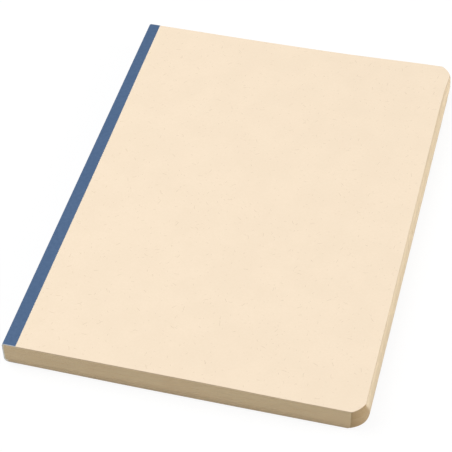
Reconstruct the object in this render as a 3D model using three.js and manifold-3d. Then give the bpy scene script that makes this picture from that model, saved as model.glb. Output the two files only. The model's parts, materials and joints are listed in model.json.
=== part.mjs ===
// A5 notebook in soft card covers. Folded sheets are nested into signatures, each signature is
// sewn through its fold, and a gauze lining and a paper tape bind the covers round the spine.
// Millimetres, +Z up. The notebook lies on its back cover with the spine at -X and the head at +Y.

import * as THREE from "three";
import { mergeVertices } from "three/addons/utils/BufferGeometryUtils.js";
import Module from "manifold-3d";

const wasm = await Module();
wasm.setup();

// Driving dimensions
const cover_width = 148;
const cover_height = 210;
const cover_thickness = 0.45;
const leaf_thickness = 0.118;
const leaf_gap = 0.01;
const sheets_per_signature = 4;
const signatures_per_half = 5;
const fore_edge_draw = 1.27;
const tape_thickness = 0.15;
const tape_flap_width = 5.7;
const tape_rebate = 0.05;
const lining_thickness = 0.3;
const front_spine_radius = 1.2;
const back_spine_radius = 2.2;
const fold_bevel = 0.28;
const corner_radius = 10;
const corner_cut = 4.6;
const back_cover_corner_cut = 7.2;
const thread_thickness = 0.1;
const thread_width = 0.4;
const sewing_margin = 15;
const sewing_stations = 4;
const fit_gap = 0.02;
const thread_clearance = 0.015;

// How finely round shapes are faceted
const spine_arc_facets = 5;
const corner_arc_facets = 4;
const merge_distance = 1e-5;

// Worked out from the driving dimensions
const leaf_pitch = leaf_thickness + leaf_gap;
const signature_thickness = 2 * sheets_per_signature * leaf_pitch;
const signature_count = 2 * signatures_per_half;
const tape_proud = tape_thickness + fit_gap - tape_rebate;
const back_cover_low = tape_proud;
const back_cover_high = back_cover_low + cover_thickness;
const block_low = back_cover_high + fit_gap;
const block_high = block_low + signature_count * signature_thickness;
const block_middle = (block_low + block_high) / 2;
const front_cover_low = block_high + fit_gap;
const front_cover_high = front_cover_low + cover_thickness;
const overall_thickness = front_cover_high + tape_proud;
const back_cover_width = cover_width + fore_edge_draw;
const lining_inset = tape_thickness + fit_gap;
const fold_inset = lining_inset + lining_thickness;
const sewing_room = thread_thickness + 2 * fit_gap;
const innermost_level = sheets_per_signature - 1;
const past_everything = cover_width + cover_height;

const materials = {
  cover: { color: 0xf8e6cd, roughness: 0.85 },
  paper: { color: 0xe9dcc0, roughness: 0.9 },
  tape: { color: 0x526b8e, roughness: 0.8 },
  lining: { color: 0xe8e4d8, roughness: 0.9 },
  thread: { color: 0xf2efe6, roughness: 0.8 },
};

// A closed geometry as a manifold solid
function toSolid(geometry) {
  const bare = geometry.clone();
  bare.deleteAttribute("normal");
  bare.deleteAttribute("uv");
  const merged = mergeVertices(bare, merge_distance);
  return new wasm.Manifold(new wasm.Mesh({
    numProp: 3,
    vertProperties: merged.attributes.position.array,
    triVerts: Uint32Array.from(merged.index.array),
  }));
}

function toGeometry(solid) {
  const mesh = solid.getMesh();
  const geometry = new THREE.BufferGeometry();
  geometry.setAttribute("position", new THREE.BufferAttribute(mesh.vertProperties, 3));
  geometry.setIndex(new THREE.BufferAttribute(mesh.triVerts, 1));
  return geometry;
}

function named(solid, name, look) {
  const geometry = toGeometry(solid).toNonIndexed();
  geometry.computeVertexNormals();
  const material = new THREE.MeshStandardMaterial({ ...materials[look], metalness: 0 });
  const mesh = new THREE.Mesh(geometry, material);
  mesh.name = name;
  return mesh;
}

function box(low, high) {
  const size = new THREE.Vector3().subVectors(high, low);
  const centre = new THREE.Vector3().addVectors(low, high).multiplyScalar(0.5);
  const geometry = new THREE.BoxGeometry(size.x, size.y, size.z);
  geometry.translate(centre.x, centre.y, centre.z);
  return toSolid(geometry);
}

// Everything between two heights, as far as a given distance from the spine
function layer(low, high, reach = past_everything) {
  return box(
    new THREE.Vector3(-past_everything, -past_everything, low),
    new THREE.Vector3(reach, past_everything, high),
  );
}

// A shape drawn in X and height, run from tail to head
function runAlongSpine(shape, facets) {
  const geometry = new THREE.ExtrudeGeometry(shape, {
    depth: cover_height,
    bevelEnabled: false,
    curveSegments: facets,
  });
  geometry.rotateX(Math.PI / 2);
  geometry.translate(0, cover_height, 0);
  return toSolid(geometry);
}

// The closed book's section with its two round spine corners, drawn in by an inset
function bookSection(inset) {
  const back = back_spine_radius;
  const front = front_spine_radius;
  const front_centre = overall_thickness - front;
  const shape = new THREE.Shape();
  shape.moveTo(past_everything, inset);
  shape.lineTo(back, inset);
  shape.absarc(back, back, back - inset, -Math.PI / 2, -Math.PI, true);
  shape.lineTo(inset, front_centre);
  shape.absarc(front, front_centre, front - inset, Math.PI, Math.PI / 2, true);
  shape.lineTo(past_everything, overall_thickness - inset);
  return runAlongSpine(shape, spine_arc_facets);
}

// How far the spine's inner face stands from the spine plane at one height
function spineFace(inset, height) {
  const from_front = overall_thickness - height;
  if (height < back_spine_radius) {
    const rise = back_spine_radius - height;
    return back_spine_radius - Math.sqrt((back_spine_radius - inset) ** 2 - rise ** 2);
  }
  if (from_front < front_spine_radius) {
    const rise = front_spine_radius - from_front;
    return front_spine_radius - Math.sqrt((front_spine_radius - inset) ** 2 - rise ** 2);
  }
  return inset;
}

// A leaf or cover seen from above: square at the spine, cut to shallow arcs at the fore edge
function outline(width, cut, low, high) {
  const across = Math.sqrt(corner_radius ** 2 - cut ** 2 / 2) / Math.SQRT2;
  const centre_x = width - cut / 2 - across;
  const centre_y = cut / 2 + across;
  const start = Math.atan2(-centre_y, width - cut - centre_x);
  const end = Math.atan2(cut - centre_y, width - centre_x);
  const shape = new THREE.Shape();
  shape.moveTo(0, 0);
  shape.lineTo(width - cut, 0);
  shape.absarc(centre_x, centre_y, corner_radius, start, end, false);
  shape.lineTo(width, cover_height - cut);
  shape.absarc(centre_x, cover_height - centre_y, corner_radius, -end, -start, false);
  shape.lineTo(0, cover_height);
  const geometry = new THREE.ExtrudeGeometry(shape, {
    depth: high - low,
    bevelEnabled: false,
    curveSegments: corner_arc_facets,
  });
  geometry.translate(0, 0, low);
  return toSolid(geometry);
}

// The trimming knife leans a little, so leaves further back reach further out
function foreEdge(height) {
  const share = (front_cover_low - height) / (front_cover_low - back_cover_high);
  return cover_width + fore_edge_draw * share;
}

function signatureMiddle(index) {
  return block_low + (index + 0.5) * signature_thickness;
}

// Where the outermost fold of a signature stands, clear of the lining and the outside thread
function foldFace(index) {
  const middle = signatureMiddle(index);
  const low = spineFace(fold_inset, middle - signature_thickness / 2);
  const high = spineFace(fold_inset, middle + signature_thickness / 2);
  return Math.max(low, high) + sewing_room;
}

// One folded sheet in section: two leaves and the fold that joins them
function sheetSection(index, level) {
  const middle = signatureMiddle(index);
  const outer_face = foldFace(index) + level * leaf_pitch;
  const inner_face = outer_face + leaf_thickness;
  const outer_half = (sheets_per_signature - level) * leaf_pitch - leaf_gap / 2;
  const inner_half = outer_half - leaf_thickness;
  const bevel_loss = 2 - Math.SQRT2;
  const outer_bevel = Math.max(fold_bevel - level * leaf_pitch * bevel_loss, 0);
  const inner_bevel = Math.max(outer_bevel - leaf_thickness * bevel_loss, 0);
  const shape = new THREE.Shape();
  const corner = (x, z) => shape.lineTo(x, middle + z);
  shape.moveTo(past_everything, middle - outer_half);
  corner(outer_face + outer_bevel, -outer_half);
  corner(outer_face, outer_bevel - outer_half);
  corner(outer_face, outer_half - outer_bevel);
  corner(outer_face + outer_bevel, outer_half);
  corner(past_everything, outer_half);
  corner(past_everything, inner_half);
  corner(inner_face + inner_bevel, inner_half);
  if (inner_bevel > 0) {
    corner(inner_face, inner_half - inner_bevel);
    corner(inner_face, inner_bevel - inner_half);
  }
  corner(inner_face + inner_bevel, -inner_half);
  corner(past_everything, -inner_half);
  return runAlongSpine(shape, 1);
}

function sewingStation(number) {
  const spacing = (cover_height - 2 * sewing_margin) / (sewing_stations - 1);
  return sewing_margin + number * spacing;
}

// The thread of one signature: it runs inside and outside the fold by turns, from hole to hole
function threadSolid(index, grow) {
  const outside = foldFace(index) - fit_gap;
  const inside = foldFace(index) + innermost_level * leaf_pitch + leaf_thickness + fit_gap;
  const half_width = thread_width / 2 + grow;
  const spine_side = outside - thread_thickness - grow;
  const fold_side = inside + thread_width + grow;
  const first = sewingStation(0) - half_width;
  const last = sewingStation(sewing_stations - 1) + half_width;
  const near = [[spine_side, first]];
  const far = [[fold_side, first]];
  for (let number = 0; number + 1 < sewing_stations; number += 1) {
    const is_inside = number % 2 === 0;
    const from = sewingStation(number) + half_width;
    const to = sewingStation(number + 1) - half_width;
    const edge = is_inside ? near : far;
    const leg = is_inside ? spine_side : fold_side;
    const run = is_inside ? inside - grow : outside + grow;
    edge.push([leg, from], [run, from], [run, to], [leg, to]);
  }
  near.push([spine_side, last]);
  far.push([fold_side, last]);
  const points = near.concat(far.reverse()).map(([x, y]) => new THREE.Vector2(x, y));
  const thickness = thread_thickness + 2 * grow;
  const geometry = new THREE.ExtrudeGeometry(new THREE.Shape(points), {
    depth: thickness,
    bevelEnabled: false,
  });
  geometry.translate(0, 0, signatureMiddle(index) - thickness / 2);
  return toSolid(geometry);
}

function sheetSolid(index, level) {
  const middle = signatureMiddle(index);
  const leaf_outline = outline(
    foreEdge(middle), corner_cut,
    middle - signature_thickness, middle + signature_thickness,
  );
  return sheetSection(index, level)
    .intersect(leaf_outline)
    .subtract(threadSolid(index, thread_clearance));
}

function signature(index) {
  const group = new THREE.Group();
  const number = String(index + 1).padStart(2, "0");
  for (let level = 0; level < sheets_per_signature; level += 1) {
    group.add(named(sheetSolid(index, level), `signature_${number}_sheet_${level + 1}`, "paper"));
  }
  group.add(named(threadSolid(index, 0), `signature_${number}_thread`, "thread"));
  return group;
}

// One cover card: its spine end is rounded, and pressed down a little, to lie inside the tape
function coverSolid(width, cut, low, high) {
  const beyond_tape = box(
    new THREE.Vector3(tape_flap_width + fit_gap, 0, low),
    new THREE.Vector3(width, cover_height, high),
  );
  return bookSection(lining_inset).add(beyond_tape).intersect(outline(width, cut, low, high));
}

// The tape wraps the spine and laps onto both covers, and bends where each cover and half turns
function tapePieces() {
  const wrap = bookSection(0).subtract(bookSection(tape_thickness));
  return [
    ["tape_back_flap", 0, back_cover_high, tape_flap_width],
    ["tape_spine_back", block_low, block_middle - fit_gap / 2, back_spine_radius],
    ["tape_spine_front", block_middle + fit_gap / 2, block_high, back_spine_radius],
    ["tape_front_flap", front_cover_low, overall_thickness, tape_flap_width],
  ].map(([name, low, high, reach]) => named(wrap.intersect(layer(low, high, reach)), name, "tape"));
}

// The glued gauze lining behind the tape, one strip for each half of the block
function liningPieces() {
  const strip = bookSection(lining_inset).subtract(bookSection(fold_inset));
  return [
    ["spine_lining_back", block_low, block_middle - fit_gap / 2],
    ["spine_lining_front", block_middle + fit_gap / 2, block_high],
  ].map(([name, low, high]) => named(strip.intersect(layer(low, high)), name, "lining"));
}

function notebook() {
  const group = new THREE.Group();
  const back_cover = coverSolid(
    back_cover_width, back_cover_corner_cut, back_cover_low, back_cover_high,
  );
  const front_cover = coverSolid(cover_width, corner_cut, front_cover_low, front_cover_high);
  group.add(named(back_cover, "back_cover", "cover"));
  group.add(named(front_cover, "front_cover", "cover"));
  for (let index = 0; index < signature_count; index += 1) {
    group.add(signature(index));
  }
  group.add(...liningPieces());
  group.add(...tapePieces());
  group.position.set(-back_cover_width / 2, -cover_height / 2, 0);
  return group;
}

const group = notebook();

export default group;
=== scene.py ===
"""A5 softcover notebook: card covers, sewn recycled-paper leaves and a blue tape round the spine.

Lengths are in metres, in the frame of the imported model: +X from the spine to the fore edge,
+Y from the tail to the head, +Z up. The notebook lies on its back cover.
"""
import json
import math
import random

import bpy
from mathutils import Matrix, Vector
from mathutils.geometry import interpolate_bezier

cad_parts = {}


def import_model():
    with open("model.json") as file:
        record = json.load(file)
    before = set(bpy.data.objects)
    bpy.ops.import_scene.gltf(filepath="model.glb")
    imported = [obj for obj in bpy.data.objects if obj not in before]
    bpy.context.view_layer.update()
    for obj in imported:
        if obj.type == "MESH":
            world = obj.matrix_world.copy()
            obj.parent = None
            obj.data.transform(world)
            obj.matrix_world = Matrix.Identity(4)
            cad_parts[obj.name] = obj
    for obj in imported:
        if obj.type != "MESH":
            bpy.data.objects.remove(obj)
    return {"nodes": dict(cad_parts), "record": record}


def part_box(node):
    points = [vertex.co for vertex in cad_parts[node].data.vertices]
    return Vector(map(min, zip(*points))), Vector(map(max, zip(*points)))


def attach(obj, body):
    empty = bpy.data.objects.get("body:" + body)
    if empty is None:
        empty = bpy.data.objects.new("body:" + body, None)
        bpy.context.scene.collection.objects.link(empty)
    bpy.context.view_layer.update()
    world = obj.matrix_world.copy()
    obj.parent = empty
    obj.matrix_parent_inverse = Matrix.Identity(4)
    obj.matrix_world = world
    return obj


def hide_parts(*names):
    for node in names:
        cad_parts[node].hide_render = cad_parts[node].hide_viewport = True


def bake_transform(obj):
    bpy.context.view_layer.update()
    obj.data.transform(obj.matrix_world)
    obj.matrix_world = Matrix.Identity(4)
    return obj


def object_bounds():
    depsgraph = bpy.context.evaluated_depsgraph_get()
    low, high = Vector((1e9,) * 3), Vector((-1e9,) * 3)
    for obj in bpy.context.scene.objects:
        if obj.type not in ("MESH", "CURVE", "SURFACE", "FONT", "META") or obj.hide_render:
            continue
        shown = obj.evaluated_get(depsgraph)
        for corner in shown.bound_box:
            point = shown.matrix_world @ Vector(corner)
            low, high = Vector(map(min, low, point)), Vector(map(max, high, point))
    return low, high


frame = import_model()
cad_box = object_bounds()

MM = 0.001

# Camera, fitted to the edges of the cover and the block in the photograph
PHOTO_WIDTH = 452
FOCAL_PIXELS = 1604.2
SENSOR_WIDTH = 36
CLIP_START = 0.01
CAMERA_PLACE = (0.12624, -0.48228, 0.50530)
CAMERA_RIGHT = (0.96766, 0.25159, -0.01843)
CAMERA_FORWARD = (-0.18822, 0.67117, -0.71701)

# Soft boxes that point at the notebook: name, place, side and power
SOFTBOXES = (
    ("overhead", (-0.95, -0.12, 1.25), 1.4, 19.0),
    ("side", (1.3, 0.15, 0.42), 0.75, 11.6),
)
WORLD_STRENGTH = 0.35

# The floor lies below the back cover's outer face when that cover is folded out
FLOOR_SIZE = 6
FLOOR_DROP = 1.5 * MM
FLOOR_GREY = 0.8

# The camera sees the floor glow white. Near the notebook the glow is a smaller share, so that
# the shadow stays
FLOOR_GLOW = 1.06
GLOW_SHARE_NEAR = 0.84
NEAR_END = 0.25
FAR_START = 0.6

# Sizes that the solids share with this script but that no box gives
TAPE_THICKNESS = 0.15 * MM
FIT_GAP = 0.02 * MM
TAPE_INSET = TAPE_THICKNESS + FIT_GAP
LEAF_THICKNESS = 0.118 * MM
LEAF_GAP = 0.01 * MM
FRONT_SPINE_RADIUS = 1.2 * MM
BACK_SPINE_RADIUS = 2.2 * MM

# How finely the shapes are divided
CORNER_STEPS = 8
LENGTH_STEPS = 16
WIDTH_STEPS = 14
WIDTH_EASING = 0.9
CARD_END_OFFSETS = (0, 0.05 * MM, 0.15 * MM, 0.3 * MM, 0.5 * MM, 0.8 * MM, 3 * MM)
ARC_STEP = 0.03 * MM
FLAP_STEPS = 4
SPINE_FLAT_STEPS = 22
FOLD_STEP = 0.05 * MM
FOLD_STEPS_EACH_WAY = 8
STRIP_ROWS = 25
LEAF_SHARES = (0, 0.06, 0.2, 0.45, 0.7, 0.88, 1)
FOLD_ARC_STEPS = 3

# Edges that turn by more than this are drawn sharp
SHARP_ANGLE = math.radians(35)

# How the book has settled: a bowed and slightly twisted front cover, a back that rises a little
# towards its spine and fore edge, and a fore edge that flares out at the head
HEAD_CORNER_LIFT = 0.95 * MM
HEAD_SAG = 0.4 * MM
TAIL_CORNER_DROP = 0.48 * MM
BACK_SPINE_RISE = 0.5 * MM
BACK_FORE_RISE = 0.2 * MM
HEAD_CORNER_FLARE = 1.35 * MM

# Each cover's bend fades through the block, as this power of the share of the height
FADE_POWER = 3

# Where each of these starts and where it is full, as shares of the width from the spine. The
# sag ends again in a zone of its own
LIFT_ZONE = (0.65, 1)
SAG_ZONE = (0, 0.4)
SAG_END_ZONE = (0.5, 0.9)
DROP_ZONE = (0.55, 0.85)
SPINE_RISE_ZONE = (0.4, 0)
FORE_RISE_ZONE = (0.6, 1)
FLARE_ZONE = (0.6, 1)

# The same as shares of the length from the tail, for the front cover
HEAD_ZONE = (0.5, 1)
TAIL_ZONE = (0.5, 0)

# The flare's length from the head, and the part of it where it is full. It grows with height
# and is a little less at the top
FLARE_LENGTH = 22 * MM
FLARE_FULL_LENGTH = 4 * MM
FLARE_HEIGHT_ZONE = (0, 0.6)
FLARE_LOSS_AT_TOP = 0.25
FLARE_LOSS_ZONE = (0.85, 1)

# Leaves lie unevenly, but not where the thread holds them or where they were cut together
LEAF_SEED = 5
LEAF_JITTER = 0.05 * MM
SIGNATURE_JITTER = 0.04 * MM
LEAST_GAP_SHARE = 0.1
SEWN_WIDTH = 4 * MM
FREE_WIDTH = 30 * MM
EVEN_AT_ENDS = 6 * MM
UNEVEN_FROM_ENDS = 16 * MM
EVEN_AT_FORE_EDGE = 6 * MM
UNEVEN_FROM_FORE_EDGE = 20 * MM

# Radius of a sheet's fold where the sheet is thick enough for it
FOLD_RADIUS = 0.3 * MM

# Gauze, and the glue between it and the folds of the signatures. The glue leaves a gap where
# the block opens in the middle
GAUZE_THICKNESS = 0.08 * MM
GLUE_ON_FOLDS = 0.1 * MM
GLUE_IN_VALLEYS = 0.25 * MM
VALLEY_HALF_WIDTH = 0.25 * MM
NO_GLUE_HALF_WIDTH = 0.1 * MM
FULL_GLUE_HALF_WIDTH = 0.25 * MM
LINING_END_INSET = 0.08 * MM

# How much of the tape bends at a hinge
HINGE_FOLD = 0.4 * MM

# The tape is three pieces, which meet this far below and above the middle of the block
SEAM_FROM_MIDDLE = 2.4 * MM

# Width of the step in a card that is pressed down under the tape
CARD_STEP = 0.04 * MM

# The tape was laid a little askew, so its flap on the front is wider at the tail. The change
# starts at this share of the way from the middle to the head, and that far from the spine. A
# part of the tape that faces up more than FACES_UP is on the flap
FLAP_SHIFT_AT_TAIL = 0.23 * MM
FLAP_SHIFT_AT_HEAD = -0.22 * MM
ASKEW_START = -0.15
ASKEW_FROM_SPINE = 2 * MM
FACES_UP = 0.99

# Round corners. The cutter's curve is shallow on the front cover and fuller on each leaf below
FRONT_CUT_ALONG_TAIL = 4.7 * MM
FRONT_CUT_ALONG_FORE = 5.4 * MM
EXTRA_CUT_ALONG_TAIL = 1.3 * MM
EXTRA_CUT_ALONG_FORE = 4.0 * MM
BACK_CUT_ALONG_TAIL = 7.0 * MM
CUT_START_ANGLE = math.radians(26)
FRONT_CUT_END_ANGLE = math.radians(66)
BACK_CUT_END_ANGLE = math.radians(90)
FRONT_CUT_FULLNESS = 0.34
BACK_CUT_FULLNESS = 0.45

# Fibres in the card: length, width, spacing of their cells and share of the cells that have one
CARD_HAIRS = (
    (2.4 * MM, 0.13 * MM, 11 * MM, 0.5),
    (1.3 * MM, 0.12 * MM, 6 * MM, 0.4),
    (0.8 * MM, 0.1 * MM, 3 * MM, 0.3),
)

# Dots and hairs fade out between these shares of their half width, and hairs between these
# shares of their half length too. Their bow differs by this share of the half length
DOT_FADE = (0.6, 1.2)
HAIR_FADE = (0.5, 1.5)
HAIR_TIP_FADE = (0.7, 1.0)
HAIR_BOW = 0.5

front_low, front_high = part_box("front_cover")
back_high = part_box("back_cover")[1]
flap_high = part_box("tape_front_flap")[1]
spine_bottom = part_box("tape_back_flap")[0][2]
spine_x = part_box("tape_spine_back")[0][0]
tail_y = front_low[1]
head_y = front_high[1]
fore_x = front_high[0]
block_middle = (front_low[2] + back_high[2]) / 2
chance = random.Random(LEAF_SEED)


def smooth(value, low, high):
    """0 at low, 1 at high, and an even curve between them. low may be the larger one."""
    share = min(max((value - low) / (high - low), 0), 1)
    return share * share * (3 - 2 * share)


def settled(point):
    """Where a point of the square, flat book lies in the book as it has settled."""
    x, y, z = point
    outward = (x - spine_x) / (fore_x - spine_x)
    along = (y - tail_y) / (head_y - tail_y)
    height = min(max(z / cad_box[1][2], 0), 1)
    sag = smooth(outward, *SAG_ZONE) - smooth(outward, *SAG_END_ZONE)
    head_curve = HEAD_CORNER_LIFT * smooth(outward, *LIFT_ZONE) - HEAD_SAG * sag
    tail_curve = TAIL_CORNER_DROP * smooth(outward, *DROP_ZONE)
    front_shift = (head_curve * smooth(along, *HEAD_ZONE)
                   - tail_curve * smooth(along, *TAIL_ZONE))
    back_shift = (BACK_SPINE_RISE * smooth(outward, *SPINE_RISE_ZONE)
                  + BACK_FORE_RISE * smooth(outward, *FORE_RISE_ZONE))
    flare = (HEAD_CORNER_FLARE * smooth(outward, *FLARE_ZONE)
             * smooth(y, head_y - FLARE_LENGTH, head_y - FLARE_FULL_LENGTH)
             * smooth(height, *FLARE_HEIGHT_ZONE)
             * (1 - FLARE_LOSS_AT_TOP * smooth(height, *FLARE_LOSS_ZONE)))
    lift = front_shift * height**FADE_POWER + back_shift * (1 - height)**FADE_POWER
    return (x + flare, y, z + lift)


def flap_end(y):
    """Where the tape's flap on the front cover ends, at that place along the spine."""
    askew = smooth(y, ASKEW_START * head_y, head_y)
    shift = FLAP_SHIFT_AT_TAIL + askew * (FLAP_SHIFT_AT_HEAD - FLAP_SHIFT_AT_TAIL)
    return flap_high[0] + shift


def cut_corner(reach, along_tail, depth):
    """Points of the curve round a tail corner. depth is 0 at the front cover, 1 at the back."""
    along_fore = FRONT_CUT_ALONG_FORE + depth * EXTRA_CUT_ALONG_FORE
    end_angle = FRONT_CUT_END_ANGLE + depth * (BACK_CUT_END_ANGLE - FRONT_CUT_END_ANGLE)
    fullness = FRONT_CUT_FULLNESS + depth * (BACK_CUT_FULLNESS - FRONT_CUT_FULLNESS)
    start = Vector((reach - along_tail, tail_y))
    end = Vector((reach, tail_y + along_fore))
    handle = fullness * (end - start).length
    after = start + handle * Vector((math.cos(CUT_START_ANGLE), math.sin(CUT_START_ANGLE)))
    before = end - handle * Vector((math.cos(end_angle), math.sin(end_angle)))
    return interpolate_bezier(start, after, before, end, CORNER_STEPS + 1)


def rim_rows(reach, along_tail, depth):
    """(y, how far the leaf or cover reaches in x) for each row from the tail to the head."""
    rows = [(point.y, point.x) for point in cut_corner(reach, along_tail, depth)]
    low = rows[-1][0]
    high = tail_y + head_y - low
    straight = [(low + (high - low) * step / LENGTH_STEPS, reach)
                for step in range(1, LENGTH_STEPS)]
    mirrored = [(tail_y + head_y - y, x) for y, x in reversed(rows)]
    return rows + straight + mirrored


def layer_cut(height):
    """(cut along the tail, depth) of a leaf at that height."""
    depth = min(max((front_low[2] - height) / (front_low[2] - back_high[2]), 0), 1)
    return FRONT_CUT_ALONG_TAIL + depth * EXTRA_CUT_ALONG_TAIL, depth


def slab(columns, rows, point):
    """Points and faces of a thin closed body.

    point(side, column, row) gives a place on face 0 or 1, before the book has settled. Each
    face comes with the name of its part: face_0, face_1, or the edge that it lies on.
    """
    points = [settled(point(side, column, row))
              for side in (0, 1) for row in range(rows) for column in range(columns)]

    def number(side, column, row):
        return (side * rows + row) * columns + column

    faces = []
    for side in (0, 1):
        for row in range(rows - 1):
            for column in range(columns - 1):
                ring = [number(side, column, row), number(side, column + 1, row),
                        number(side, column + 1, row + 1), number(side, column, row + 1)]
                faces.append((ring if side else ring[::-1], f"face_{side}"))
    for row in range(rows - 1):
        for column, part in ((0, "first_column"), (columns - 1, "last_column")):
            ring = [number(0, column, row), number(0, column, row + 1),
                    number(1, column, row + 1), number(1, column, row)]
            faces.append((ring if column else ring[::-1], part))
    for column in range(columns - 1):
        for row, part in ((0, "first_row"), (rows - 1, "last_row")):
            ring = [number(0, column, row), number(1, column, row),
                    number(1, column + 1, row), number(0, column + 1, row)]
            faces.append((ring if row else ring[::-1], part))
    return points, faces


def piece(name, slabs, look_names, look_of):
    """One object made of slabs. look_of(part) names the look of a face."""
    order = list(dict.fromkeys(look_names))
    points = []
    rings = []
    numbers = []
    for slab_points, slab_faces in slabs:
        first = len(points)
        points += slab_points
        for ring, part in slab_faces:
            rings.append([first + corner for corner in ring])
            numbers.append(order.index(look_of(part)))
    mesh = bpy.data.meshes.new(name)
    mesh.from_pydata(points, [], rings)
    for look_name in order:
        mesh.materials.append(looks[look_name])
    mesh.polygons.foreach_set("material_index", numbers)
    mesh.polygons.foreach_set("use_smooth", [True] * len(rings))
    mesh.set_sharp_from_angle(angle=SHARP_ANGLE)
    made = bpy.data.objects.new(name, mesh)
    bpy.context.collection.objects.link(made)
    return made


# Looks

class Look:
    """A material whose nodes are added one step at a time."""

    def __init__(self, name, roughness, specular=0.25):
        self.material = bpy.data.materials.new(name)
        self.material.use_nodes = True
        self.tree = self.material.node_tree
        self.shader = self.tree.nodes["Principled BSDF"]
        self.shader.inputs["Roughness"].default_value = roughness
        self.shader.inputs["Specular IOR Level"].default_value = specular
        self.place = self.add("ShaderNodeTexCoord").outputs["Object"]

    def add(self, kind, **settings):
        node = self.tree.nodes.new(kind)
        for setting, value in settings.items():
            setattr(node, setting, value)
        return node

    def join(self, source, socket):
        """Links a socket to source, or sets it where source is a plain value."""
        if hasattr(source, "links"):
            self.tree.links.new(source, socket)
        else:
            socket.default_value = source

    def math(self, operation, first, second=0.0, third=0.0):
        node = self.add("ShaderNodeMath", operation=operation)
        for source, socket in zip((first, second, third), node.inputs):
            self.join(source, socket)
        return node.outputs[0]

    def axis(self, letter):
        node = self.add("ShaderNodeSeparateXYZ")
        self.join(self.place, node.inputs[0])
        return node.outputs[letter]

    def slide(self, share):
        """Moves the pattern along X by share times the height, so that it changes with height."""
        shift = self.add("ShaderNodeCombineXYZ")
        self.join(self.math("MULTIPLY", self.axis("Z"), share), shift.inputs["X"])
        moved = self.add("ShaderNodeVectorMath", operation="ADD")
        self.join(self.place, moved.inputs[0])
        self.join(shift.outputs[0], moved.inputs[1])
        self.place = moved.outputs[0]

    def scaled(self, size, stretch=(1, 1, 1)):
        """Places in units of size, drawn out along each axis by stretch."""
        node = self.add("ShaderNodeMapping")
        node.inputs["Scale"].default_value = [1 / (size * part) for part in stretch]
        self.join(self.place, node.inputs["Vector"])
        return node.outputs[0]

    def noise(self, size, stretch=(1, 1, 1), detail=2.0):
        node = self.add("ShaderNodeTexNoise")
        node.inputs["Scale"].default_value = 1.0
        node.inputs["Detail"].default_value = detail
        self.join(self.scaled(size, stretch), node.inputs["Vector"])
        return node.outputs["Fac"]

    def between(self, value, low, high, to_low=0.0, to_high=1.0):
        """value eased from low to high, given as to_low to to_high."""
        node = self.add("ShaderNodeMapRange", interpolation_type="SMOOTHSTEP")
        for source, name in ((value, "Value"), (low, "From Min"), (high, "From Max"),
                             (to_low, "To Min"), (to_high, "To Max")):
            self.join(source, node.inputs[name])
        return node.outputs[0]

    def mix(self, share, first, second):
        node = self.add("ShaderNodeMix", data_type="RGBA")
        self.join(share, node.inputs["Factor"])
        colour_sockets = [socket for socket in node.inputs if socket.type == "RGBA"]
        self.join(first, colour_sockets[0])
        self.join(second, colour_sockets[1])
        return next(socket for socket in node.outputs if socket.type == "RGBA")

    def speckle(self, base, pattern, strength, colour):
        """base, with that strength of a colour wherever the pattern is."""
        return self.mix(self.math("MULTIPLY", pattern, strength), base, colour)

    def flecks(self, size, spacing, share):
        """Small dots of about that size, in that share of the cells that lie spacing apart."""
        node = self.add("ShaderNodeTexVoronoi")
        node.inputs["Scale"].default_value = 1.0
        self.join(self.scaled(spacing), node.inputs["Vector"])
        radius = size / 2 / spacing
        inner, outer = (part * radius for part in DOT_FADE)
        dot = self.between(node.outputs["Distance"], inner, outer, to_low=1.0, to_high=0.0)
        draw = self.add("ShaderNodeSeparateColor")
        self.join(node.outputs["Color"], draw.inputs[0])
        kept = self.math("LESS_THAN", draw.outputs[0], share)
        return self.math("MULTIPLY", dot, kept)

    def hairs(self, length, width, spacing, share):
        """Curved hairs lying in XY, one in that share of the cells that lie spacing apart."""
        cells = self.add("ShaderNodeTexVoronoi", voronoi_dimensions="2D")
        cells.inputs["Scale"].default_value = 1.0
        place = self.scaled(spacing)
        self.join(place, cells.inputs["Vector"])
        local = self.add("ShaderNodeVectorMath", operation="SUBTRACT")
        self.join(place, local.inputs[0])
        self.join(cells.outputs["Position"], local.inputs[1])
        draw = self.add("ShaderNodeSeparateColor")
        self.join(cells.outputs["Color"], draw.inputs[0])
        turn = self.add("ShaderNodeVectorRotate", rotation_type="Z_AXIS")
        self.join(local.outputs[0], turn.inputs["Vector"])
        self.join(self.math("MULTIPLY", draw.outputs[0], 2 * math.pi), turn.inputs["Angle"])
        parts = self.add("ShaderNodeSeparateXYZ")
        self.join(turn.outputs[0], parts.inputs[0])
        half = length / 2 / spacing
        along = self.math("DIVIDE", parts.outputs["X"], half)
        either_way = self.math("SUBTRACT", draw.outputs[1], 0.5)
        bow = self.math("MULTIPLY", either_way, HAIR_BOW * half)
        bowed = self.math("MULTIPLY", bow, self.math("MULTIPLY", along, along))
        across = self.math("ABSOLUTE", self.math("SUBTRACT", parts.outputs["Y"], bowed))
        inner, outer = (part * width / 2 / spacing for part in HAIR_FADE)
        body = self.between(across, inner, outer, to_low=1.0, to_high=0.0)
        from_centre = self.math("ABSOLUTE", along)
        tips = self.between(from_centre, *HAIR_TIP_FADE, to_low=1.0, to_high=0.0)
        kept = self.math("LESS_THAN", draw.outputs[2], share)
        return self.math("MULTIPLY", self.math("MULTIPLY", body, tips), kept)

    def bump(self, height, depth):
        node = self.add("ShaderNodeBump")
        node.inputs["Distance"].default_value = depth
        node.inputs["Strength"].default_value = 1.0
        self.join(height, node.inputs["Height"])
        self.join(node.outputs[0], self.shader.inputs["Normal"])

    def colour(self, source):
        self.join(source, self.shader.inputs["Base Color"])
        return self.material


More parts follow.
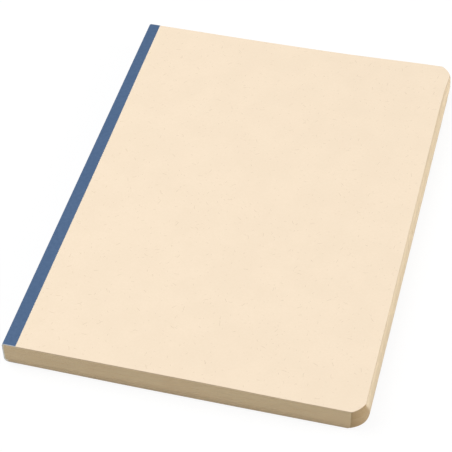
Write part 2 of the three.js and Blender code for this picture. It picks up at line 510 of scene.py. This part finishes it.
def linear(red, green, blue):
    """A colour read off a screen, 0 to 255, as linear light with full opacity."""
    def one(part):
        part = part / 255
        return part / 12.92 if part <= 0.04045 else ((part + 0.055) / 1.055) ** 2.4
    return (one(red), one(green), one(blue), 1.0)


def card_look():
    """Recycled card: faint clouds and grain, with fibres and flecks of the old paper."""
    pale = linear(249, 230, 205)
    clouded = linear(247, 228, 203)
    grain_colour = linear(242, 223, 195)
    fibre = linear(176, 148, 110)
    fleck = linear(176, 148, 114)
    look = Look("recycled_card", roughness=0.86)
    clouds = look.between(look.noise(size=14 * MM, detail=3.0), 0.35, 0.65)
    base = look.mix(clouds, pale, clouded)
    grain = look.between(look.noise(size=0.9 * MM), 0.35, 0.7, to_high=0.25)
    base = look.mix(grain, base, grain_colour)
    for length, width, spacing, share in CARD_HAIRS:
        hairs = look.hairs(length, width, spacing, share)
        base = look.speckle(base, hairs, strength=0.4, colour=fibre)
    dots = look.flecks(size=0.3 * MM, spacing=4 * MM, share=0.4)
    base = look.speckle(base, dots, strength=0.4, colour=fleck)
    look.bump(look.noise(size=0.35 * MM, detail=3.0), depth=0.015 * MM)
    return look.colour(base)


def card_edge_look():
    """Cut edges of the card. Fibres of the tape and glue make them paler beside the spine."""
    pale = linear(222, 200, 170)
    layered = linear(203, 180, 150)
    glued_colour = linear(208, 204, 196)
    shaded = linear(150, 127, 96)
    look = Look("card_cut_edge", roughness=0.9)
    layers = look.noise(size=0.12 * MM, stretch=(40, 40, 1))
    base = look.mix(look.between(layers, 0.3, 0.7), pale, layered)
    glue_full = spine_x + 4 * MM
    glue_end = spine_x + 9 * MM
    glued = look.between(look.axis("X"), glue_full, glue_end, to_low=0.75, to_high=0.0)
    base = look.mix(glued, base, glued_colour)
    # Painted shade: the cut edges darken towards the back cover, low down by the floor
    low = look.between(look.axis("Z"), 0.0, block_middle, to_low=0.5, to_high=0.0)
    base = look.mix(low, base, shaded)
    look.bump(layers, depth=0.02 * MM)
    return look.colour(base)


def page_look():
    """Plain recycled paper. Its pattern slides with height, so that each leaf has its own."""
    pale = linear(239, 227, 202)
    clouded = linear(237, 224, 199)
    fibre = linear(190, 168, 134)
    fleck = linear(170, 150, 120)
    look = Look("recycled_paper", roughness=0.9)
    look.slide(share=20)
    clouds = look.between(look.noise(size=17 * MM, detail=4.0), 0.3, 0.7)
    base = look.mix(clouds, pale, clouded)
    hairs = look.hairs(length=1.5 * MM, width=0.1 * MM, spacing=6 * MM, share=0.4)
    base = look.speckle(base, hairs, strength=0.4, colour=fibre)
    dots = look.flecks(size=0.3 * MM, spacing=4 * MM, share=0.4)
    base = look.speckle(base, dots, strength=0.4, colour=fleck)
    look.bump(look.noise(size=0.3 * MM, detail=3.0), depth=0.012 * MM)
    return look.colour(base)


def leaf_tone(look):
    """A tone for each leaf in the block, with streaks along its cut edge."""
    level = look.math("DIVIDE", look.axis("Z"), LEAF_THICKNESS + LEAF_GAP)
    leaf = look.add("ShaderNodeTexWhiteNoise", noise_dimensions="1D")
    look.join(look.math("FLOOR", level), leaf.inputs["W"])
    of_leaf = look.math("MULTIPLY", leaf.outputs["Value"], 0.5)
    streaks = look.noise(size=0.22 * MM, stretch=(60, 60, 1), detail=3.0)
    of_streaks = look.math("MULTIPLY", streaks, 0.8)
    return look.between(look.math("ADD", of_leaf, of_streaks), 0.3, 1.0)


def page_edge_look():
    """The block's tail and head edges: wide patches, and painted shade towards the back cover."""
    pale = linear(225, 202, 163)
    streaked = linear(210, 186, 148)
    patched = linear(215, 188, 150)
    shaded = linear(188, 163, 128)
    look = Look("page_cut_edges", roughness=0.92)
    tone = leaf_tone(look)
    base = look.mix(tone, pale, streaked)
    wide = look.noise(size=16 * MM, stretch=(1, 1, 0.3))
    base = look.mix(look.between(wide, 0.4, 0.65, to_high=0.5), base, patched)
    # Painted shade: the lowest leaves darken towards the floor, where the contact shade falls
    low = look.between(look.axis("Z"), 0.0, 0.8 * block_middle, to_low=0.6, to_high=0.0)
    base = look.mix(low, base, shaded)
    look.bump(tone, depth=0.015 * MM)
    return look.colour(base)


def fore_edge_look():
    """The fore edge, with painted shade low down and under the cover, and darker round corners."""
    pale = linear(253, 236, 209)
    streaked = linear(246, 226, 197)
    painted_low_shade = linear(224, 206, 177)
    painted_cover_shadow = linear(222, 199, 168)
    corner = linear(179, 152, 113)
    corner_streaked = linear(171, 144, 105)
    look = Look("page_fore_edge", roughness=0.92)
    tone = leaf_tone(look)
    y = look.axis("Y")
    z = look.axis("Z")
    base = look.mix(tone, pale, streaked)
    # Painted shade: the lower leaves darken towards the floor, most near the tail
    low = look.between(z, 0.2 * block_middle, 1.4 * block_middle, to_low=1.0, to_high=0.0)
    near_tail = look.between(y, tail_y, 0.6 * head_y, to_low=0.7, to_high=0.1)
    base = look.mix(look.math("MULTIPLY", low, near_tail), base, painted_low_shade)
    # Painted shadow: the top leaves near the head darken where the lifted cover corner shades them
    high = look.between(z, block_middle, front_low[2])
    near_head = look.between(y, -0.2 * head_y, 0.9 * head_y, to_high=0.75)
    base = look.mix(look.math("MULTIPLY", high, near_head), base, painted_cover_shadow)
    from_end = look.math("SUBTRACT", head_y, look.math("ABSOLUTE", y))
    depth = look.between(z, 0.0, front_low[2], to_low=1.0, to_high=0.0)
    cut_length = look.math("MULTIPLY_ADD", depth, EXTRA_CUT_ALONG_FORE, FRONT_CUT_ALONG_FORE)
    cuts_from_end = look.math("DIVIDE", from_end, cut_length)
    on_round_corner = look.between(cuts_from_end, 0.9, 1.25, to_low=1.0, to_high=0.0)
    base = look.mix(on_round_corner, base, look.mix(tone, corner, corner_streaked))
    look.bump(tone, depth=0.01 * MM)
    return look.colour(base)


def tape_look():
    """Matt blue paper tape, paler at its two ends. Its pattern slides with height, or it would
    be drawn out into streaks up the spine."""
    blue = linear(75, 101, 136)
    mottled = linear(81, 107, 142)
    clouded = linear(70, 98, 134)
    fibre = linear(120, 146, 178)
    frayed = linear(196, 204, 212)
    look = Look("blue_binding_tape", roughness=0.75, specular=0.3)
    look.slide(share=1)
    mottling = look.between(look.noise(size=1.6 * MM, detail=4.0), 0.3, 0.7)
    base = look.mix(mottling, blue, mottled)
    clouds = look.between(look.noise(size=22 * MM), 0.35, 0.65, to_high=0.35)
    base = look.mix(clouds, base, clouded)
    hairs = look.hairs(length=1.2 * MM, width=0.06 * MM, spacing=1.5 * MM, share=0.5)
    base = look.speckle(base, hairs, strength=0.2, colour=fibre)
    from_middle = look.math("ABSOLUTE", look.axis("Y"))
    fray = 0.25 * MM
    ends = look.between(from_middle, head_y - fray, head_y, to_high=0.6)
    base = look.mix(ends, base, frayed)
    look.bump(look.noise(size=0.25 * MM, detail=3.0), depth=0.015 * MM)
    return look.colour(base)


def tape_edge_look():
    """The tape's cut edge, where its white core shows."""
    look = Look("tape_cut_edge", roughness=0.85)
    core = look.between(look.noise(size=0.8 * MM, detail=3.0), 0.35, 0.65)
    return look.colour(look.mix(core, linear(238, 241, 244), linear(218, 224, 231)))


def tape_inside_look():
    """The tape's white paper back, under a skin of dried glue."""
    look = Look("tape_back_with_glue", roughness=0.6, specular=0.4)
    streaks = look.noise(size=1.2 * MM, stretch=(1, 4, 1), detail=4.0)
    shade = look.between(streaks, 0.35, 0.65)
    base = look.mix(shade, linear(226, 222, 210), linear(206, 200, 184))
    look.bump(streaks, depth=0.03 * MM)
    return look.colour(base)


def lining_look():
    """Gauze of crossing threads, filled with glue."""
    look = Look("gauze_and_glue", roughness=0.7)
    along = look.noise(size=0.5 * MM, stretch=(1, 8, 1))
    upward = look.noise(size=0.5 * MM, stretch=(1, 1, 8))
    weave = look.math("ADD", along, upward)
    shade = look.between(weave, 0.7, 1.3)
    base = look.mix(shade, linear(238, 234, 222), linear(222, 215, 198))
    look.bump(weave, depth=0.05 * MM)
    return look.colour(base)


def thread_look():
    """Twisted cotton."""
    look = Look("sewing_thread", roughness=0.75)
    twist = look.noise(size=0.25 * MM, stretch=(1, 3, 1))
    shade = look.between(twist, 0.35, 0.65)
    base = look.mix(shade, linear(242, 239, 229), linear(220, 214, 198))
    look.bump(twist, depth=0.04 * MM)
    return look.colour(base)


looks = {
    "card": card_look(),
    "card_edge": card_edge_look(),
    "page": page_look(),
    "page_edge": page_edge_look(),
    "fore_edge": fore_edge_look(),
    "tape": tape_look(),
    "tape_inside": tape_inside_look(),
    "tape_edge": tape_edge_look(),
    "lining": lining_look(),
    "thread": thread_look(),
}


# Covers

def card_stations(spine_end, tape_end, reach):
    """Places across a card, close together at its rounded spine end and at the tape's edge."""
    rounded = [spine_end + offset for offset in CARD_END_OFFSETS]
    even = [tape_end + (reach - tape_end) * (step / WIDTH_STEPS) ** WIDTH_EASING
            for step in range(1, WIDTH_STEPS + 1)]
    return rounded + [tape_end, tape_end + CARD_STEP] + even


def outer_face(x, tape_end, outer_sign, flat_face):
    """Height of a card's outer face: rounded at the spine, and pressed down under the tape."""
    if x > tape_end + CARD_STEP / 2:
        return flat_face
    if outer_sign > 0:
        radius = FRONT_SPINE_RADIUS
        face = flap_high[2] - TAPE_INSET
    else:
        radius = BACK_SPINE_RADIUS
        face = spine_bottom + TAPE_INSET
    into = max(spine_x + radius - x, 0)
    inner = radius - TAPE_INSET
    return face - outer_sign * (inner - math.sqrt(max(inner**2 - into**2, 0)))


def cover_face_look(part):
    return "card" if part.startswith("face") else "card_edge"


def cover(name, node, body, cut, depth, outer_sign):
    """One card. outer_sign is 1 where its outer face is its upper one, and -1 otherwise."""
    low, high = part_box(node)
    rows = rim_rows(high[0], cut, depth)
    tape_ends = [flap_end(y) if outer_sign > 0 else flap_high[0] for y, reach in rows]
    columns = [card_stations(low[0], tape_end, reach)
               for tape_end, (y, reach) in zip(tape_ends, rows)]

    def point(side, column, row):
        x = columns[row][column]
        z = (low, high)[side][2]
        if side == (outer_sign > 0):
            z = outer_face(x, tape_ends[row], outer_sign, z)
        return (x, rows[row][0], z)

    made = piece(name, [slab(len(columns[0]), len(rows), point)], ("card", "card_edge"),
                 cover_face_look)
    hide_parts(node)
    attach(made, body)


# Leaves

def fold_arc():
    """Points round a sheet's fold from its lower leaf to its upper: (x, leaf, z).

    x and z are shares of the fold's radius. z is measured away from the middle of the sheet.
    """
    angles = [math.pi / 2 * step / FOLD_ARC_STEPS for step in range(FOLD_ARC_STEPS + 1)]
    lower = [(1 - math.sin(angle), 0, math.cos(angle)) for angle in angles]
    upper = [(1 - math.cos(angle), 1, math.sin(angle)) for angle in angles]
    return lower + upper


def sheet_slab(node, reach_shift, shifts):
    """One folded sheet. reach_shift moves its fore edge, and shifts its lower and upper leaf."""
    low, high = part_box(node)
    middle = (low[2] + high[2]) / 2
    half = (high[2] - low[2]) / 2
    rows = rim_rows(high[0], *layer_cut(middle))
    arc = fold_arc()
    flat_columns = len(LEAF_SHARES) - 1
    head_shift = chance.uniform(-1, 1) * LEAF_JITTER
    tail_shift = chance.uniform(-1, 1) * LEAF_JITTER

    def point(side, column, row):
        y, reach = rows[row]
        reach += reach_shift * smooth(abs(y), head_y - EVEN_AT_ENDS, head_y - UNEVEN_FROM_ENDS)
        inner = LEAF_THICKNESS if side else 0
        radius = max(min(half, FOLD_RADIUS) - inner, 0)
        depth = half - inner
        fold_x = low[0] + inner
        fold_end = fold_x + radius
        z = depth
        if column < flat_columns:
            leaf = 0
            x = fold_end + (reach - fold_end) * LEAF_SHARES[-1 - column]
        elif column < flat_columns + len(arc):
            in_x, leaf, in_z = arc[column - flat_columns]
            x = fold_x + radius * in_x
            z = depth - radius + radius * in_z
        else:
            leaf = 1
            x = fold_end + (reach - fold_end) * LEAF_SHARES[column - flat_columns - len(arc) + 1]
        free = smooth(x, low[0] + SEWN_WIDTH, low[0] + FREE_WIDTH)
        end_shift = head_shift * smooth(y, 0, head_y) + tail_shift * smooth(y, 0, tail_y)
        y += end_shift * smooth(x, high[0] - EVEN_AT_FORE_EDGE, high[0] - UNEVEN_FROM_FORE_EDGE)
        return (x, y, middle + (z if leaf else -z) + free * shifts[leaf])

    return slab(2 * flat_columns + len(arc), len(rows), point)


def sheet_face_look(part):
    if part.startswith("face"):
        return "page"
    if part in ("first_row", "last_row"):
        return "page_edge"
    return "fore_edge"


def signature_order():
    """Leaf numbers of each sheet, counted from the back cover: (node, lower leaf, upper leaf)."""
    nodes = [node for node in frame["nodes"] if "_sheet_" in node]
    signatures = sorted({node.rsplit("_sheet_", 1)[0] for node in nodes})
    found = []
    for place, signature in enumerate(signatures):
        sheets = sorted(node for node in nodes if node.startswith(signature + "_sheet_"))
        leaves_each = 2 * len(sheets)
        first = place * leaves_each
        for level, node in enumerate(sheets):
            found.append((node, first + level, first + leaves_each - 1 - level))
    return found


def uneven_heights(count):
    """How far each leaf has slid up or down from even spacing. The gaps vary but stay open."""
    gaps = [LEAST_GAP_SHARE + chance.expovariate(1 / (1 - LEAST_GAP_SHARE))
            for _ in range(count + 1)]
    total = sum(gaps)
    heights = []
    height = 0
    for number in range(count):
        height += gaps[number] / total * (count + 1) * LEAF_GAP
        heights.append(height - (number + 1) * LEAF_GAP)
    return heights


def sheet_slabs():
    """The slab of each sheet, by its node."""
    order = signature_order()
    heights = uneven_heights(2 * len(order))
    signature_shift = 0
    found = {}
    for node, lower, upper in order:
        if node.endswith("_sheet_1"):
            signature_shift = chance.uniform(-1, 1) * SIGNATURE_JITTER
        shift = signature_shift + chance.uniform(-1, 1) * LEAF_JITTER
        found[node] = sheet_slab(node, shift, (heights[lower], heights[upper]))
    return found


def leaves():
    """The leaves of each half. A sheet whose page a joint lays open is a piece of its own."""
    slabs = sheet_slabs()
    bodies = frame["record"]["behaviour"]["bodies"]
    for body, title in (("back_half", "back"), ("front_half", "front")):
        sheets = [node for node in bodies[body] if node in slabs]
        outermost = [node for node in sheets if node.endswith("_sheet_1")]
        facing = {outermost[0], outermost[-1]}
        groups = [(f"{title}_leaves", [node for node in sheets if node not in facing])]
        groups += [(f"{title}_leaves_of_{node}", [node]) for node in sorted(facing)]
        for name, nodes in groups:
            made = piece(name, [slabs[node] for node in nodes],
                         ("page", "page_edge", "fore_edge"), sheet_face_look)
            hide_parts(*nodes)
            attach(made, body)


# Tape and lining

def straight_heights(low, high):
    """Heights up the flat of the spine, close together where the block opens in the middle."""
    steps = range(-FOLD_STEPS_EACH_WAY, FOLD_STEPS_EACH_WAY + 1)
    heights = {block_middle + step * FOLD_STEP for step in steps}
    for start, end in ((low, min(heights)), (max(heights), high)):
        heights |= {start + (end - start) * step / SPINE_FLAT_STEPS
                    for step in range(SPINE_FLAT_STEPS + 1)}
    return sorted(heights - {low, high})


def spine_centres():
    """Centres of the spine's two round edges, at the back and at the front, as (x, height)."""
    back = Vector((spine_x + BACK_SPINE_RADIUS, spine_bottom + BACK_SPINE_RADIUS))
    front = Vector((spine_x + FRONT_SPINE_RADIUS, flap_high[2] - FRONT_SPINE_RADIUS))
    return back, front


def quarter_turn(radius):
    """Angles round a quarter of a circle, in steps of about ARC_STEP along it."""
    steps = round(math.pi / 2 * radius / ARC_STEP)
    return [math.pi / 2 * step / steps for step in range(steps + 1)]


def spine_section():
    """Stations along the tape from the back flap's end to the front flap's: (point, outward)."""
    back_centre, front_centre = spine_centres()
    back_end = Vector((flap_high[0], spine_bottom))
    front_end = Vector((flap_high[0], flap_high[2]))
    stations = []
    for step in range(FLAP_STEPS):
        x = back_end.x + (back_centre.x - back_end.x) * step / FLAP_STEPS
        stations.append((Vector((x, back_end.y)), Vector((0, -1))))
    for angle in quarter_turn(BACK_SPINE_RADIUS):
        outward = Vector((-math.sin(angle), -math.cos(angle)))
        stations.append((back_centre + BACK_SPINE_RADIUS * outward, outward))
    for height in straight_heights(back_centre.y, front_centre.y):
        stations.append((Vector((spine_x, height)), Vector((-1, 0))))
    for angle in quarter_turn(FRONT_SPINE_RADIUS):
        outward = Vector((-math.cos(angle), math.sin(angle)))
        stations.append((front_centre + FRONT_SPINE_RADIUS * outward, outward))
    for step in range(1, FLAP_STEPS + 1):
        x = front_centre.x + (front_end.x - front_centre.x) * step / FLAP_STEPS
        stations.append((Vector((x, front_end.y)), Vector((0, 1))))
    return stations


def strip(name, stations, end_inset, layer_point, look_names):
    """A band round the spine from tail to head.

    layer_point(side, place, outward) gives its section, and look_names the looks of its outer
    face, inner face and edges.
    """
    outer_name, inner_name, edge_name = look_names

    def point(side, column, row):
        place, outward = stations[column]
        spot = layer_point(side, place, outward)
        y = tail_y + end_inset + (head_y - tail_y - 2 * end_inset) * row / (STRIP_ROWS - 1)
        on_flap = 0
        if outward.y > FACES_UP:
            on_flap = smooth(spot.x, spine_x + ASKEW_FROM_SPINE, flap_high[0])
        return (spot.x + on_flap * (flap_end(y) - flap_high[0]), y, spot.y)

    points, faces = slab(len(stations), STRIP_ROWS, point)
    flipped = [(ring[::-1], part) for ring, part in faces]
    names = {"face_1": outer_name, "face_0": inner_name}
    return piece(name, [(points, flipped)], look_names, lambda part: names.get(part, edge_name))


def hinge_zone(centre, radius, card_face, sign):
    """Start and end of the bend where the tape leaves a cover card and goes on to the block."""
    rise = (card_face - centre.y) / (radius - TAPE_INSET)
    outward = Vector((-math.sqrt(1 - rise**2), rise))
    crease = centre + radius * outward
    along = Vector((-abs(outward.y), -sign * abs(outward.x)))
    start = crease - along * HINGE_FOLD / 2
    end = crease + along * HINGE_FOLD / 2
    return settled((start.x, 0, start.y)), settled((end.x, 0, end.y))


def bend_middle(made):
    """Bakes the piece's transform into its mesh."""
    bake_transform(made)


def tape():
    """One strip in three pieces: on the back cover, on the spine and on the front cover."""
    stations = spine_section()
    low_seam = block_middle - SEAM_FROM_MIDDLE
    high_seam = block_middle + SEAM_FROM_MIDDLE
    lower = [(place, outward) for place, outward in stations if place.y <= low_seam]
    seam_low = lower[-1][0].y
    middle = [(place, outward) for place, outward in stations
              if seam_low <= place.y <= high_seam]
    seam_high = middle[-1][0].y
    upper = [(place, outward) for place, outward in stations if place.y >= seam_high]

    def layer_point(side, place, outward):
        return place if side else place - outward * TAPE_THICKNESS

    names = ("tape", "tape_inside", "tape_edge")
    back = strip("tape_on_back_cover", lower, 0, layer_point, names)
    centre = strip("tape_on_spine", middle, 0, layer_point, names)
    front = strip("tape_on_front_cover", upper, 0, layer_point, names)
    back_centre, front_centre = spine_centres()
    start, end = hinge_zone(back_centre, BACK_SPINE_RADIUS, back_high[2], -1)
    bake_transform(back)
    start, end = hinge_zone(front_centre, FRONT_SPINE_RADIUS, front_low[2], 1)
    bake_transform(front)
    bend_middle(centre)
    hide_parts("tape_back_flap")
    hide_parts("tape_spine_back", "tape_spine_front")
    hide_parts("tape_front_flap")


def glue_face(height, folds):
    """How far the glue reaches in from the spine: onto each signature's folds and between them."""
    low, high, fold_x = next((fold for fold in folds if height <= fold[1]), folds[-1])
    from_valley = min(abs(height - low), abs(high - height))
    valley = GLUE_IN_VALLEYS * smooth(from_valley, VALLEY_HALF_WIDTH, 0)
    bonded = fold_x + GLUE_ON_FOLDS + valley
    bare = spine_x + TAPE_INSET + GAUZE_THICKNESS
    glued = smooth(abs(height - block_middle), NO_GLUE_HALF_WIDTH, FULL_GLUE_HALF_WIDTH)
    return bare + (bonded - bare) * glued


def lining():
    """The gauze lining and its glue, which fill the room between the folds and the tape."""
    block_low = back_high[2] + FIT_GAP
    block_high = front_low[2] - FIT_GAP
    stations = [(place, outward) for place, outward in spine_section()
                if block_low <= place.y <= block_high]
    outer_sheets = sorted(node for node in frame["nodes"] if node.endswith("_sheet_1"))
    boxes = [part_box(node) for node in outer_sheets]
    folds = [(low[2], high[2], low[0]) for low, high in boxes]

    def layer_point(side, place, outward):
        if side:
            return place - outward * TAPE_INSET
        return Vector((glue_face(place.y, folds), place.y))

    made = strip("spine_lining_and_glue", stations, LINING_END_INSET, layer_point,
                 ("lining", "lining", "lining"))
    bend_middle(made)
    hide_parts("spine_lining_back", "spine_lining_front")


def threads():
    """The sewing threads are the solids themselves, with a better material."""
    for name, node in frame["nodes"].items():
        if name.endswith("_thread"):
            for holder in node.material_slots:
                holder.material = looks["thread"]


# Stage

def floor_material():
    """Pale and matt, but glowing white to the camera, less so near the notebook."""
    material = bpy.data.materials.new("white_sweep")
    material.use_nodes = True
    tree = material.node_tree
    shader = tree.nodes["Principled BSDF"]
    shader.inputs["Base Color"].default_value = (FLOOR_GREY, FLOOR_GREY, FLOOR_GREY, 1)
    shader.inputs["Roughness"].default_value = 0.9
    shader.inputs["Specular IOR Level"].default_value = 0.0
    glow = tree.nodes.new("ShaderNodeEmission")
    glow.inputs["Strength"].default_value = FLOOR_GLOW
    place = tree.nodes.new("ShaderNodeTexCoord")
    distance = tree.nodes.new("ShaderNodeVectorMath")
    distance.operation = "LENGTH"
    share = tree.nodes.new("ShaderNodeMapRange")
    share.inputs["From Min"].default_value = NEAR_END
    share.inputs["From Max"].default_value = FAR_START
    share.inputs["To Min"].default_value = GLOW_SHARE_NEAR
    path = tree.nodes.new("ShaderNodeLightPath")
    seen = tree.nodes.new("ShaderNodeMath")
    seen.operation = "MULTIPLY"
    mix = tree.nodes.new("ShaderNodeMixShader")
    tree.links.new(place.outputs["Object"], distance.inputs[0])
    tree.links.new(distance.outputs["Value"], share.inputs["Value"])
    tree.links.new(path.outputs["Is Camera Ray"], seen.inputs[0])
    tree.links.new(share.outputs[0], seen.inputs[1])
    tree.links.new(seen.outputs[0], mix.inputs[0])
    tree.links.new(shader.outputs[0], mix.inputs[1])
    tree.links.new(glow.outputs[0], mix.inputs[2])
    tree.links.new(mix.outputs[0], tree.nodes["Material Output"].inputs["Surface"])
    return material


def floor():
    mesh = bpy.data.meshes.new("floor")
    edge = FLOOR_SIZE / 2
    corners = [(-edge, -edge), (edge, -edge), (edge, edge), (-edge, edge)]
    mesh.from_pydata([(x, y, -FLOOR_DROP) for x, y in corners], [], [(0, 1, 2, 3)])
    mesh.materials.append(floor_material())
    made = bpy.data.objects.new("floor", mesh)
    bpy.context.collection.objects.link(made)


def world():
    """White to the camera, and a dim even light on everything."""
    made = bpy.data.worlds.new("studio")
    made.use_nodes = True
    tree = made.node_tree
    dim = tree.nodes["Background"]
    dim.inputs["Color"].default_value = (1, 1, 1, 1)
    dim.inputs["Strength"].default_value = WORLD_STRENGTH
    white = tree.nodes.new("ShaderNodeBackground")
    white.inputs["Color"].default_value = (1, 1, 1, 1)
    path = tree.nodes.new("ShaderNodeLightPath")
    mix = tree.nodes.new("ShaderNodeMixShader")
    tree.links.new(path.outputs["Is Camera Ray"], mix.inputs[0])
    tree.links.new(dim.outputs[0], mix.inputs[1])
    tree.links.new(white.outputs[0], mix.inputs[2])
    tree.links.new(mix.outputs[0], tree.nodes["World Output"].inputs["Surface"])
    bpy.context.scene.world = made


def softbox(name, place, side, power):
    data = bpy.data.lights.new(name, "AREA")
    data.shape = "SQUARE"
    data.size = side
    data.energy = power
    made = bpy.data.objects.new(name, data)
    made.location = place
    made.rotation_euler = (-Vector(place)).to_track_quat("-Z", "Y").to_euler()
    bpy.context.collection.objects.link(made)


def camera():
    data = bpy.data.cameras.new("camera")
    data.sensor_width = SENSOR_WIDTH
    data.lens = FOCAL_PIXELS / PHOTO_WIDTH * SENSOR_WIDTH
    data.clip_start = CLIP_START
    made = bpy.data.objects.new("camera", data)
    right = Vector(CAMERA_RIGHT).normalized()
    forward = Vector(CAMERA_FORWARD)
    forward = (forward - right * forward.dot(right)).normalized()
    up = right.cross(forward)
    turn = Matrix((right, up, -forward)).transposed()
    made.matrix_world = Matrix.Translation(CAMERA_PLACE) @ turn.to_4x4()
    bpy.context.collection.objects.link(made)
    bpy.context.scene.camera = made


camera()
floor()
world()
for softbox_name, softbox_place, softbox_side, softbox_power in SOFTBOXES:
    softbox(softbox_name, softbox_place, softbox_side, softbox_power)
bpy.context.scene.view_settings.view_transform = "Standard"

cover("front_cover_card", "front_cover", "front_cover", FRONT_CUT_ALONG_TAIL,
      depth=0, outer_sign=1)
cover("back_cover_card", "back_cover", "back_cover", BACK_CUT_ALONG_TAIL,
      depth=1, outer_sign=-1)
leaves()
tape()
lining()
threads()
